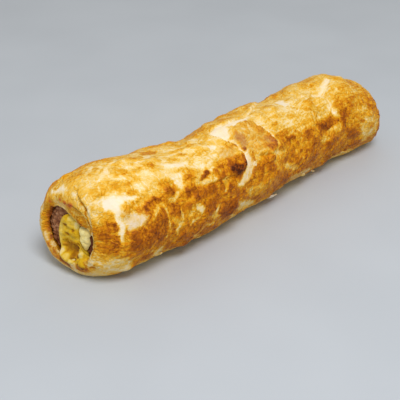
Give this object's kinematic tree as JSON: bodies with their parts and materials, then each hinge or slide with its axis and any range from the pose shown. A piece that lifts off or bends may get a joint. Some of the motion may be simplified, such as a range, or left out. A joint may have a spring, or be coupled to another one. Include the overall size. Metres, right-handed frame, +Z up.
{
  "type": "sausage roll",
  "caption": "Long baked roll of flaky pastry wrapped round sausage meat, open at the ends where the meat, yellow cheese and pale cheese show.",
  "frame": {"origin": "middle of the footprint, on the surface that the roll rests on", "axes": "+Z up, +X along the roll away from its wider open end, +Y away from the side with the flaps"},
  "size_m": [0.2164, 0.058, 0.0514],
  "materials": {
    "pastry": "baked flaky pastry, golden with pale and dark brown patches, egg-washed satin",
    "meat": "cooked coarse sausage meat, moist",
    "yellow_cheese": "melted yellow cheese, satin, browned at the lip",
    "pale_cheese": "soft pale cheese, satin"
  },
  "bodies": {
    "root": {"pastry": "pastry", "sausage_meat": "meat", "yellow_cheese": "yellow_cheese", "pale_cheese": "pale_cheese"}
  },
  "joints": []
}
